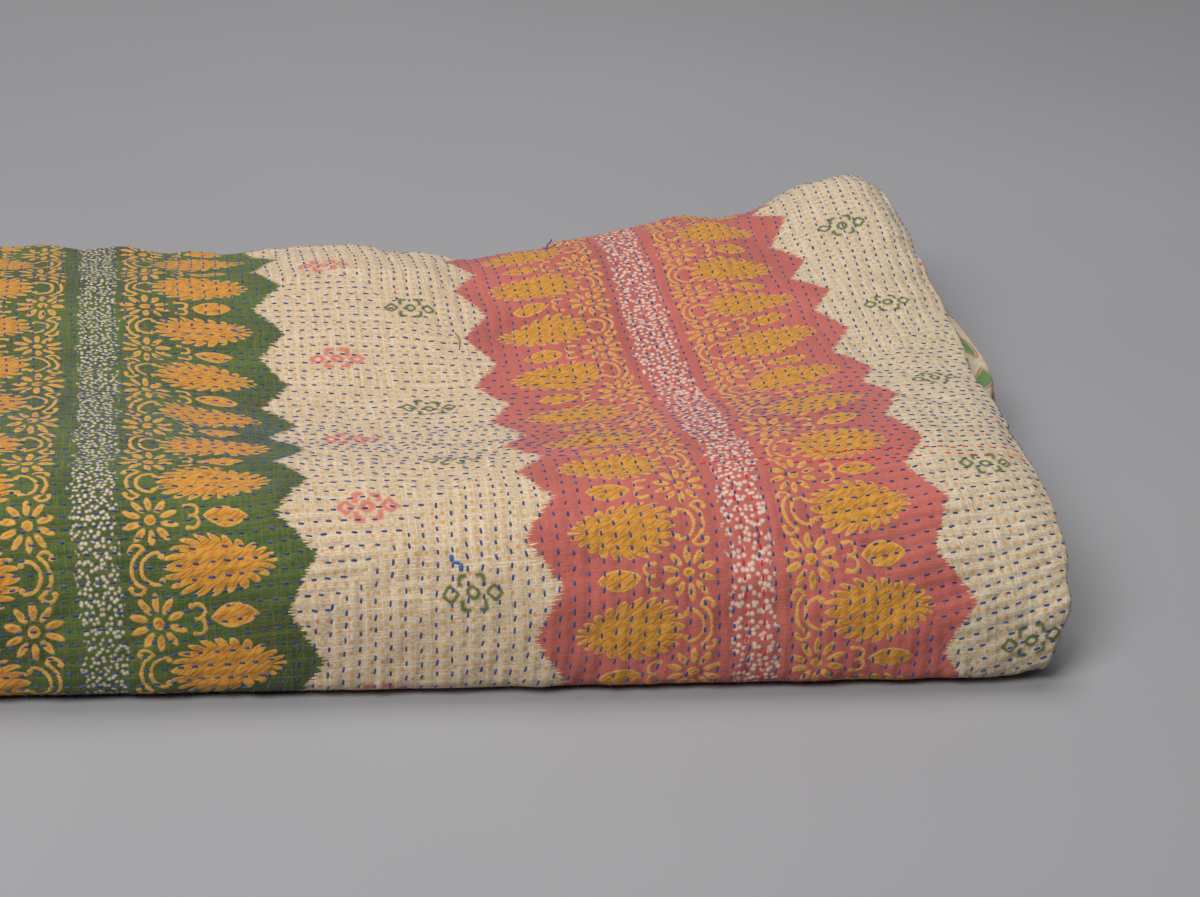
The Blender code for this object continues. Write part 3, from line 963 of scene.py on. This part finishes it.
def pucker_height(add, c, crest, motif, dots):
    """Bump in mm: rows that sink at the stitches, puckers between them, weave, and dye paste."""
    rows = add(SPLIT, add("ShaderNodeAttribute", attribute_name="rows", out=1)).node.outputs
    sink = [add("COSINE", add("MULTIPLY", place, 2 * np.pi / (ROW_GAP * MM))) for place in rows[:2]]
    row_wave = add(MIX, rows[2], sink[0], sink[1], **NUMBERS)
    pucker = add(NOISE, c["flat"], Scale=1 / PUCKER, Detail=1.5)
    height = add("MULTIPLY_ADD", pucker, 1.0, add("MULTIPLY", row_wave, -ROW_SINK))
    height = add("MULTIPLY_ADD", crest, WEAVE_HEIGHT, height)
    for shape, thick in zip((motif, dots), PASTE_HEIGHT):
        paste = add(RANGE, shape, -0.5, 0.8, 0.0, thick, interpolation_type="SMOOTHSTEP")
        height = add("ADD", paste, height)
    return height


def bumped(add, colour, height):
    """Sockets of a finish with a colour and a bump whose height is in mm."""
    bump = add("ShaderNodeBump", Strength=1.0, Distance=MM, Height=height)
    return {"Base Color": colour, "Normal": bump}


def printed_cotton(add):
    """The whole face cloth."""
    c = print_coordinates(add)
    layers = weave_crest(add, c["flat"]), orange_motifs(add, c), white_dots(add, c)
    return bumped(add, printed_colour(add, c, *layers), pucker_height(add, c, *layers))


COTTON = {"Roughness": 0.92, "Sheen Weight": 0.12, "Sheen Roughness": 0.6, "Specular IOR Level": 0.2}
quilt.data.materials.append(new_material("printed_kantha_cotton", COTTON, printed_cotton))
print("printed cotton:", len(quilt.data.materials[0].node_tree.nodes), "nodes")

# %% [markdown]
# ## The second sari
# A kantha is pieced from what there is. The inner passes are another old sari, cream with
# slanting sprigs of green leaves in a thin red line. It shows as a sliver at the right end,
# where the inner folds stand out, and between the layers at the left end.

# %% Leaf-printed cotton


def sprigs(add, flat):
    """Almond leaves on a slanting lattice; every second row is moved on by half a repeat."""
    turned = {"Location": (*SPRIG["place"], 0), "Rotation": (0, 0, np.radians(SPRIG["turn"]))}
    place = add(SPLIT, add("ShaderNodeMapping", flat, **turned)).node.outputs
    wide, high = SPRIG["repeat"]
    number = add("ROUND", add("DIVIDE", place[1], 2 * high))
    u = add("PINGPONG", add("MULTIPLY_ADD", number, wide, place[0]), wide)
    v = add("PINGPONG", place[1], high)
    return lens_shape(add, u, v, 0.0, SPRIG["length"], SPRIG["height"])


def leaf_cotton(add):
    """The cloth of the inner passes."""
    flat = flat_place(add)
    crest, leaf = weave_crest(add, flat), sprigs(add, flat)
    line = add("ABSOLUTE", add("ADD", leaf, SPRIG["line_gap"]))
    line = add("SUBTRACT", SPRIG["line_half_width"], line)
    colour = paint(add, unprinted(add, crest, shade("cool cream")), line, shade("red"), 0.9)
    colour = paint(add, colour, leaf, shade("leaf light"), 0.95)
    pucker = add(NOISE, flat, Scale=1 / PUCKER, Detail=1.5)
    return bumped(add, colour, add("MULTIPLY_ADD", crest, 0.10, pucker))


quilt.data.materials.append(new_material("leaf_printed_cotton", COTTON, leaf_cotton))
quilt.data.polygons.foreach_set("material_index", (~row_is_fine[face_row]).astype(np.int32))
print("leaf cotton:", len(quilt.data.materials[1].node_tree.nodes), "nodes")

# %% [markdown]
# ## Where the rows of stitches run
# The quilter worked inwards in large steps. In the middle of the face the rows run along the
# quilt, in a wide band bounded by two bent lines. Above the upper line, and below the lower
# one, they run across it. The lines are a few corners each, in cloth millimetres. The mesh
# gets the same rows as an attribute, so that the bump sinks exactly where the threads lie.

# %% Rows of stitches
UPPER_LINE = ((-260, -15), (-12, 221), (110, 316), (125, 316), (208, 238), (300, 195),
              (360, 190), (417, 238), (470, 285))
LOWER_LINE = ((-260, -340), (40, -40), (91, 11), (166, 84), (197, 100), (226, 111), (289, 100),
              (315, 47), (342, 11), (371, -22), (420, -75), (520, -180))
ROW_PITCH = 6.2             # from stitch to stitch along a row, mm
ROW_SLOPE = (0.20, 345, 12, 80, 50)     # slope, from which s on and how softly, and the fade in t
ROW_WAVES = ((1.1, 37, 61), (0.6, 14.3, -23), (0.35, 7.9, 11))  # height, length along and across


def runs_across(s, t):
    """True where the rows run along t: above the upper line or below the lower one."""
    upper, lower = (np.interp(s, *np.array(line, float).T) for line in (UPPER_LINE, LOWER_LINE))
    return (t > upper) | (t < lower)


def row_rise(s, t):
    """How far the rows along the quilt climb by the place s: a slope that fades out above."""
    slope, start, soft, top, fade = ROW_SLOPE
    return slope * soft * np.logaddexp(0, (s - start) / soft) * (1 - ease((t - top) / fade))


def wander(along, across):
    """How far a row strays from straight, in mm: three slow sine waves of unlike lengths."""
    return sum(height * np.sin(along / a + across / b) for height, a, b in ROW_WAVES)


def row_attribute(s, t):
    """Per point: the two distances that count the rows, in metres, and which of them applies."""
    return np.stack([(t - row_rise(s, t) + wander(s, t)) * MM, (s + wander(t, s)) * MM,
                     runs_across(s, t).astype(float)], axis=-1)


rows = quilt.data.attributes.new("rows", "FLOAT_VECTOR", "POINT")
rows.data.foreach_set("vector", row_attribute(cloth_s, cloth_t)[point_used].astype(np.float32).ravel())
print("share of the face with rows across: %.2f" % runs_across(cloth_s, cloth_t)[row_is_fine].mean())

# %% [markdown]
# ## Finding a place on the cloth
# A stitch is planned on the flat cloth and has to land on the folded one. Its s and t are
# looked up in the grid: first the column for s, then the row for t, a few times over, because
# each depends a little on the other. Between grid points everything is blended linearly.

# %% Placing on the cloth
fine_rows = np.flatnonzero(row_is_fine)
face = np.s_[fine_rows[0]:fine_rows[-1] + 1, :face_columns + END_STEPS]
FACE = {"place": points[face], "normal": outward(points)[face],
        "s": cloth_s[face], "t": cloth_t[face]}


def between(field, row, column):
    """Value of a grid at fractional rows and columns, blended from the four points around."""
    row = np.clip(row, 0, field.shape[0] - 1.001)
    column = np.clip(column, 0, field.shape[1] - 1.001)
    r, c = row.astype(int), column.astype(int)
    fr, fc = row - r, column - c
    if field.ndim == 3:
        fr, fc = fr[..., None], fc[..., None]
    return ((field[r, c] * (1 - fc) + field[r, c + 1] * fc) * (1 - fr)
            + (field[r + 1, c] * (1 - fc) + field[r + 1, c + 1] * fc) * fr)


def count_below(lines, value):
    """Fractional position of each value in its own rising line of numbers."""
    i = np.clip((lines < value[:, None]).sum(axis=1) - 1, 0, lines.shape[1] - 2)
    at = np.arange(len(value))
    low, high = lines[at, i], lines[at, i + 1]
    return i + np.clip((value - low) / np.maximum(high - low, 1e-9), 0, 1)


def find(s, t):
    """Fractional (row, column) of the cloth places (s, t) on the face grid."""
    row = np.full(s.shape, FACE["s"].shape[0] / 2)
    for _ in range(4):
        r = np.clip(row.astype(int), 0, FACE["s"].shape[0] - 2)
        f = (row - r)[:, None]
        column = count_below(FACE["s"][r] * (1 - f) + FACE["s"][r + 1] * f, s)
        c = np.clip(column.astype(int), 0, FACE["t"].shape[1] - 2)
        f = (column - c)[:, None]
        row = count_below(FACE["t"][:, c].T * (1 - f) + FACE["t"][:, c + 1].T * f, t)
    return row, column


probe = find(np.array([4.0, 281.0]), np.array([60.0, 200.0]))
print("probe lands at, mm:", np.round(between(FACE["place"], *probe) / MM).tolist())

# %% [markdown]
# ## Running stitches
# Each stitch is a short run of cotton thread that comes up, lies on the cloth and dives again.
# Its body is three rings of four points between two sunk tips, which is enough roundness for
# something a millimetre wide, and thousands of them are joined in one mesh. Length, place
# and slant vary from stitch to stitch, as they do by hand.

# %% Stitch meshes
DASH_STEPS = (-1.0, -0.66, 0.0, 0.66, 1.0)              # places along half the length
DASH_RINGS = ((0.85, 0.9), (1.0, 1.0), (0.85, 0.9))     # width and height between the two tips
DASH_WIDTH, DASH_LIFT, DASH_SINK = 1.15 * MM, 0.42 * MM, 0.35 * MM
DASH_LENGTHS = (2.5, 3.7)   # mm, the shortest and the longest
PITCH_SPREAD, SLANT = 0.16, 0.10    # how uneven the pitch is, and the turn in radians
MISSED = 0.02               # share of the stitches that have come out
MISS_ALLOWED = 0.6          # mm: a stitch that lands further off its plan is past the edge


def dash_faces():
    """Corners of one stitch: a fan at each tip, and quads between its rings of four."""
    faces = []
    for side in range(4):
        nxt = (side + 1) % 4
        faces.append((0, 1 + nxt, 1 + side))
        faces.append((13, 9 + side, 9 + nxt))
        for ring_start in (1, 5):
            a, b = ring_start + side, ring_start + nxt
            faces.append((a, b, b + 4))
            faces.append((a, b + 4, a + 4))
    return np.array(faces)


def dashes(name, s, t, turn, length, width, material):
    """Joined mesh of stitches at (s, t), turned in the cloth; every tip dives under the face."""
    row, column = find(s, t)
    column_step = between(np.gradient(FACE["s"], axis=1), row, column)
    row_step = between(np.gradient(FACE["t"], axis=0), row, column)
    half = length / 2 / MM
    ds, dt = half * np.cos(turn), half * np.sin(turn)
    spine, normals = [], []
    for along in DASH_STEPS:
        at = (row + along * dt / row_step, column + along * ds / column_step)
        spine.append(between(FACE["place"], *at))
        normals.append(between(FACE["normal"], *at))
    spine, normals = np.array(spine), np.array(normals)
    normals /= np.linalg.norm(normals, axis=2, keepdims=True)
    along = spine[4] - spine[0]
    side = np.cross(normals[2], along)
    side /= np.maximum(np.linalg.norm(side, axis=1, keepdims=True), 1e-9)
    parts = [spine[0] - normals[0] * DASH_SINK]
    for middle, up, (wide, high) in zip(spine[1:], normals[1:], DASH_RINGS):
        reach = side * (width * wide / 2)[:, None]
        parts += [middle + reach, middle + up * DASH_LIFT * high, middle - reach,
                  middle - up * DASH_SINK]
    parts.append(spine[4] - normals[4] * DASH_SINK)
    vertices = np.stack(parts, axis=1)
    faces = dash_faces()[None] + 14 * np.arange(len(s))[:, None, None]
    made = new_object(name, vertices.reshape(-1, 3), faces.reshape(-1, 3).tolist())
    made.data.materials.append(material)
    print(name, len(s), "stitches,", triangles(made), "triangles")
    return made


def row_places(random, start, stop, first, last, pitch):
    """Rows at whole multiples of the gap, each with stitches from start to stop at its own phase."""
    count = int((stop - start) / pitch)
    along, across = [], []
    for line in np.arange(np.ceil(first / ROW_GAP), np.floor(last / ROW_GAP) + 1) * ROW_GAP:
        steps = pitch * (1 + random.uniform(-PITCH_SPREAD, PITCH_SPREAD, count))
        along.append(start + random.uniform(0, pitch) + np.cumsum(steps))
        across.append(np.full(count, line))
    return np.concatenate(along), np.concatenate(across)


def plan_stitches(seed):
    """(s, t, turn) of every blue stitch: both families of rows, each kept only in its own zone."""
    random = np.random.default_rng(seed)
    low_t, high_t = FACE["t"].min() + 4, FACE["t"].max() - 4
    low_s, high_s = FACE["s"].min() + 3, FACE["s"][:, -1].max() - 1
    s, line = row_places(random, low_s, high_s, low_t, high_t, ROW_PITCH)
    t = line - wander(s, line)
    t += row_rise(s, t + row_rise(s, t))
    keep = ~runs_across(s, t)
    lean = np.arctan(row_rise(s + 1, t) - row_rise(s, t))
    plans = [np.stack([s, t, lean])[:, keep]]
    t, line = row_places(random, low_t, high_t, low_s, high_s, ROW_PITCH)
    s = line - wander(t, line)
    keep = runs_across(s, t)
    plans.append(np.stack([s, t, 0 * s + np.pi / 2])[:, keep])
    s, t, turn = np.concatenate(plans, axis=1)
    row, column = find(s, t)
    off = np.hypot(between(FACE["s"], row, column) - s, between(FACE["t"], row, column) - t)
    keep = (off < MISS_ALLOWED) & (random.uniform(size=len(s)) > MISSED)
    return s[keep], t[keep], turn[keep] + random.normal(0, SLANT, keep.sum())


plan_s, plan_t, plan_turn = plan_stitches(5)
print("stitches planned:", len(plan_s))

# %% [markdown]
# The thread is two-ply cotton, dyed indigo for most of the work and madder red where the
# quilter ran out or marked a place. Cotton thread is matt with a very slight sheen, and its
# colour is uneven where it has faded.

# %% Thread materials
THREADS = {"indigo": ("24407c", "3c5796"), "madder": ("c4181f", "dc3a34"),
           "brown": ("5a4632", "7a6248"), "blue": ("2a569c", "4271b4")}


def thread(name):
    """Cotton thread: two shades of the dye, matt."""
    dark, light = THREADS[name]
    fade = partial(two_shades, dark=dark, light=light, scale=160.0, detail=2.0, low=0.35, high=0.65)
    return new_material(name + "_cotton_thread", {"Roughness": 0.8, "Sheen Weight": 0.15}, fade)


threads = {name: thread(name) for name in THREADS}

# %% [markdown]
# Red rows replace the blue ones in a few places: two columns down the front in the pink
# border, and two rows from there to the right end. Blue stitches that would touch a red row
# are left out.

# %% All stitches
# place across the line, first and last place along it, and whether it runs along t
RED_LINES = ((276.5, -70.0, 74.0, True), (284.5, -70.0, 74.0, True),
             (76.0, 276.0, 440.0, False), (83.5, 268.0, 440.0, False))
RED_PITCH, RED_SPREAD, RED_WANDER = 6.6, 0.6, 0.6
RED_LENGTH, RED_WIDTH = 3.8 * MM, 1.25 * MM
RED_CLEAR = 2.4             # mm round a red stitch without a blue one


def red_plan(seed):
    """(s, t, turn) of the red stitches."""
    random = np.random.default_rng(seed)
    parts = []
    for line, first, last, runs_up in RED_LINES:
        along = np.arange(first, last, RED_PITCH)
        along = along + random.uniform(-RED_SPREAD, RED_SPREAD, len(along))
        across = line - RED_WANDER * wander(along, line)
        parts.append([across, along, 0 * along + np.pi / 2] if runs_up else [along, across, 0 * along])
    return np.concatenate(parts, axis=1)


red_s, red_t, red_turn = red_plan(9)


def clear_of_red(s, t):
    """True where no red stitch is near."""
    return (np.hypot(s[:, None] - red_s, t[:, None] - red_t) >= RED_CLEAR).all(axis=1)


STITCH_ZONES = {"blue_stitches_under": (-1000, -14), "blue_stitches_front": (-14, 120),
                "blue_stitches_middle": (120, 235), "blue_stitches_back": (235, 1000)}
random = np.random.default_rng(21)
plan_length = random.uniform(*DASH_LENGTHS, len(plan_s)) * MM
plan_width = DASH_WIDTH * random.uniform(0.85, 1.15, len(plan_s))
plan = np.stack([plan_s, plan_t, plan_turn, plan_length, plan_width])
free = clear_of_red(plan_s, plan_t)
stitches = []
for name, (first, last) in STITCH_ZONES.items():
    pick = free & (plan_t >= first) & (plan_t < last)
    stitches.append(dashes(name, *plan[:, pick], threads["indigo"]))
stitches.append(dashes("red_stitches", red_s, red_t, red_turn, np.full(len(red_s), RED_LENGTH),
                       np.full(len(red_s), RED_WIDTH), threads["madder"]))

# %% [markdown]
# ## Loose ends of thread
# A hand-stitched quilt keeps a few knots and tails where a thread was started or ended. Each
# tail is a thin tube carried along a short curve that stands a little off the cloth.

# %% Thread tails and knots
# thread, width, then (s, t, height) of a few points of the curve, all in mm
TAILS = (
    ("indigo", 0.8, ((239, 361, 0.2), (240, 363, 2.0), (242, 364, 3.4), (243, 366, 4.2))),
    ("madder", 0.6, ((220, 119, 0.2), (222, 121, 1.2), (223.5, 125, 1.2), (223.5, 130, 0.3))),
    ("brown", 0.42, ((178.6, 266, 0.2), (179.6, 262, 0.9), (179.8, 257, 0.9), (179.2, 252, 0.2))),
)
# s, t, turn in degrees, length and width in mm of the short thick stitches that end a thread
KNOTS = (
    (150.8, 36.2, 82, 4.2, 2.0), (152.8, 34.0, -12, 3.4, 1.7), (154.6, 31.8, 96, 4.6, 2.1),
    (83.5, 113.5, 8, 5.0, 2.4), (86.0, 113.0, -20, 4.0, 2.2), (69.5, 263.5, -30, 4.0, 2.2),
    (72.0, 262.4, 15, 3.4, 1.8),
)


def tube(name, path, width, material, sides=6):
    """Tube of one width carried along a path, with rings square to it and closed ends."""
    smooth = np.linspace(0, len(path) - 1, 4 * len(path))
    line = np.stack([smooth_table(smooth, np.arange(len(path)), axis) for axis in path.T], axis=1)
    ahead = np.gradient(line, axis=0)
    ahead /= np.linalg.norm(ahead, axis=1, keepdims=True)
    side = np.cross(ahead, (0.3, 0.2, 1.0))
    side /= np.linalg.norm(side, axis=1, keepdims=True)
    top = np.cross(side, ahead)
    turn = np.linspace(0, 2 * np.pi, sides, endpoint=False)[:, None]
    rings = line[:, None] + width / 2 * (np.cos(turn) * side[:, None] + np.sin(turn) * top[:, None])
    start = np.arange(len(line) - 1)[:, None] * sides
    first, following = start + np.arange(sides), start + (np.arange(sides) + 1) % sides
    quads = np.stack([first, following, following + sides, first + sides], axis=-1).reshape(-1, 4)
    last = (len(line) - 1) * sides
    caps = [list(range(sides))[::-1], list(range(last, last + sides))]
    made = new_object(name, rings.reshape(-1, 3), quads.tolist() + caps)
    made.data.materials.append(material)
    return made


tails = []
for number, (dye, width, route) in enumerate(TAILS):
    route = np.array(route, float)
    at = find(route[:, 0], route[:, 1])
    path = between(FACE["place"], *at) + between(FACE["normal"], *at) * route[:, 2:] * MM
    tails.append(tube(f"thread_tail_{number}", path, width * MM, threads[dye]))
knot_s, knot_t, knot_turn, knot_length, knot_width = np.array(KNOTS).T
stitches.append(dashes("thread_knots", knot_s, knot_t, np.radians(knot_turn), knot_length * MM,
                       knot_width * MM, threads["blue"]))
print("thread tails:", len(tails), "each of about", triangles(tails[0]), "triangles")

# %% [markdown]
# ## Floor, light and backdrop
# A studio shot of cloth wants a large soft light above, here at the left and to the front, and
# a weaker one from behind that shows the folds. The pale paper floor throws some of it back,
# and the world gives the rest of the room.

# %% Stage
FLOOR_SIZE = 7.0
PAPER = ("9a9aa0", "9fa0a5")
SOFTBOXES = (               # name, place, size, watts, shade
    ("softbox_left", (-0.9, -1.1, 1.6), 1.0, 34.0, "fffcf8"),
    ("softbox_behind", (0.3, 0.5, 1.6), 1.0, 16.5, "fffcf8"),
)
ROOM_LIGHT, ROOM_SHADE = 0.03, "e6e8f0"


def paper_floor():
    """Flat sheet of matt grey paper under the quilt, one quad."""
    h = FLOOR_SIZE
    made = new_object("paper_floor", np.array([(-h, -h, 0), (h, -h, 0), (h, h, 0), (-h, h, 0)], float),
                      [[0, 1, 2, 3]], smooth=False)
    mottle = partial(two_shades, dark=PAPER[0], light=PAPER[1], scale=2.0, detail=3.0, low=0.3, high=0.7)
    made.data.materials.append(new_material("grey_background_paper", {"Roughness": 0.85}, mottle))
    return made


def softbox(name, place, size, watts, glow):
    """Square area light that faces the middle of the quilt."""
    lamp = bpy.data.objects.new(name, bpy.data.lights.new(name, "AREA"))
    lamp.data.size, lamp.data.energy, lamp.data.color = size, watts, linear(glow)[:3]
    lamp.matrix_world = aimed(place, np.array(place) / np.linalg.norm(place))
    bpy.context.scene.collection.objects.link(lamp)


floor = paper_floor()
for lamp in SOFTBOXES:
    softbox(*lamp)
room = bpy.data.worlds.new("studio_room")
room.use_nodes = True
backdrop = room.node_tree.nodes["Background"].inputs
backdrop["Color"].default_value = linear(ROOM_SHADE)
backdrop["Strength"].default_value = ROOM_LIGHT
bpy.context.scene.world = room
bpy.context.scene.view_settings.view_transform = "Standard"
print("lights:", [lamp[0] for lamp in SOFTBOXES])

# %% [markdown]
# ## The pieces
# The cloth stands for the imported solid, and the threads ride with it.

# %% Pieces
for piece in (quilt, *stitches, *tails):
    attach(piece, "root")
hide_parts("quilt")
